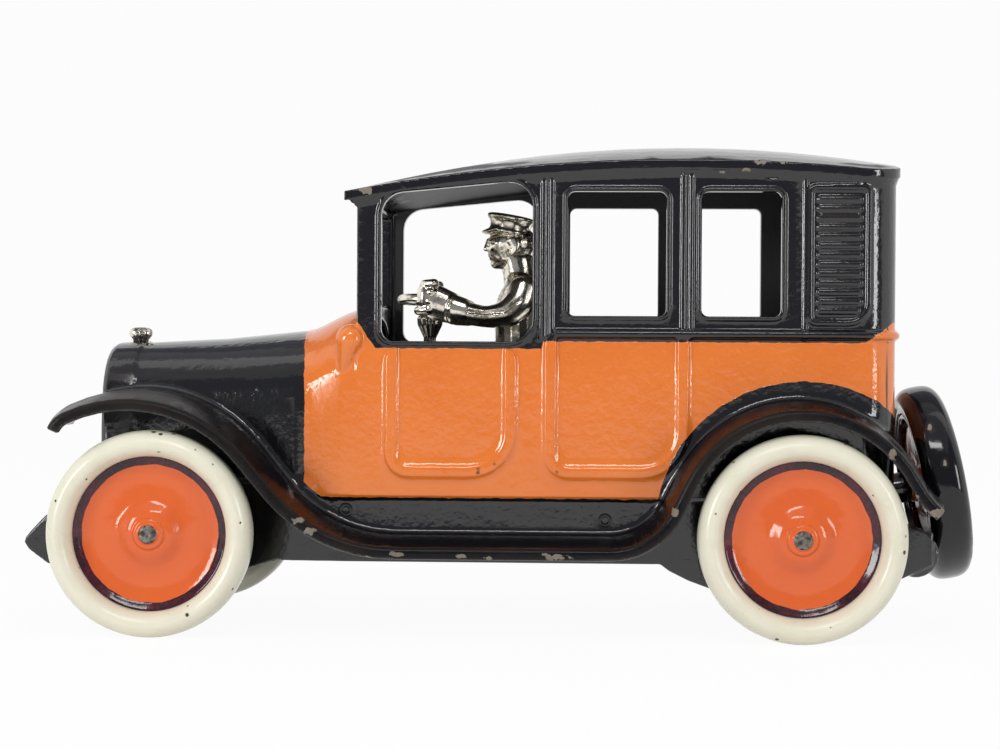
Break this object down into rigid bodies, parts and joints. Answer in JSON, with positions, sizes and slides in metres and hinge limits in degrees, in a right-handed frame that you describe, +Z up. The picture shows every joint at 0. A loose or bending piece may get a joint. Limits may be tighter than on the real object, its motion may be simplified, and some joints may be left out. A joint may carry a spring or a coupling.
{
  "type": "toy taxi",
  "caption": "Cast-metal push-along toy taxi in the style of a closed antique cab, with a seated driver, free-rolling disc wheels and a leaning spare wheel.",
  "frame": {"origin": "centre of the bounding box in plan, on the ground under the wheels", "axes": "+X along the length towards the spare wheel, with the front at -X; +Y towards the right side; +Z up"},
  "size_m": [0.234, 0.091, 0.1188],
  "materials": {
    "body_enamel": "thick gloss enamel, orange below and black above",
    "orange_enamel": "gloss enamel",
    "cream_enamel": "gloss enamel, worn",
    "black_enamel": "gloss enamel, chipped",
    "nickel_plate": "aged nickel plate on a casting",
    "axle_steel": "dull drawn wire, peened ends"
  },
  "bodies": {
    "body": {"body_left": "body_enamel", "body_right": "body_enamel", "front_rivet": "black_enamel", "rear_rivet": "black_enamel", "driver": "nickel_plate", "steering_wheel": "nickel_plate", "radiator_cap": "nickel_plate", "spare_tyre": "black_enamel", "spare_disc": "orange_enamel", "spare_rivet": "axle_steel"},
    "front_axle": {"front_axle": "axle_steel"},
    "rear_axle": {"rear_axle": "axle_steel"},
    "wheel_front_left": {"disc_front_left": "orange_enamel", "tyre_front_left": "cream_enamel"},
    "wheel_front_right": {"disc_front_right": "orange_enamel", "tyre_front_right": "cream_enamel"},
    "wheel_rear_left": {"disc_rear_left": "orange_enamel", "tyre_rear_left": "cream_enamel"},
    "wheel_rear_right": {"disc_rear_right": "orange_enamel", "tyre_rear_right": "cream_enamel"}
  },
  "joints": [
    {"name": "front_axle_turn", "type": "hinge", "parent": "body", "child": "front_axle", "pos_m": [-0.08101, 0, 0.0244], "axis": [0, 1, 0], "continuous": true},
    {"name": "rear_axle_turn", "type": "hinge", "parent": "body", "child": "rear_axle", "pos_m": [0.07179, 0, 0.0244], "axis": [0, 1, 0], "continuous": true},
    {"name": "wheel_front_left_turn", "type": "hinge", "parent": "front_axle", "child": "wheel_front_left", "pos_m": [-0.08101, -0.0405, 0.0244], "axis": [0, 1, 0], "continuous": true},
    {"name": "wheel_front_right_turn", "type": "hinge", "parent": "front_axle", "child": "wheel_front_right", "pos_m": [-0.08101, 0.0405, 0.0244], "axis": [0, 1, 0], "continuous": true},
    {"name": "wheel_rear_left_turn", "type": "hinge", "parent": "rear_axle", "child": "wheel_rear_left", "pos_m": [0.07179, -0.0405, 0.0244], "axis": [0, 1, 0], "continuous": true},
    {"name": "wheel_rear_right_turn", "type": "hinge", "parent": "rear_axle", "child": "wheel_rear_right", "pos_m": [0.07179, 0.0405, 0.0244], "axis": [0, 1, 0], "continuous": true}
  ]
}
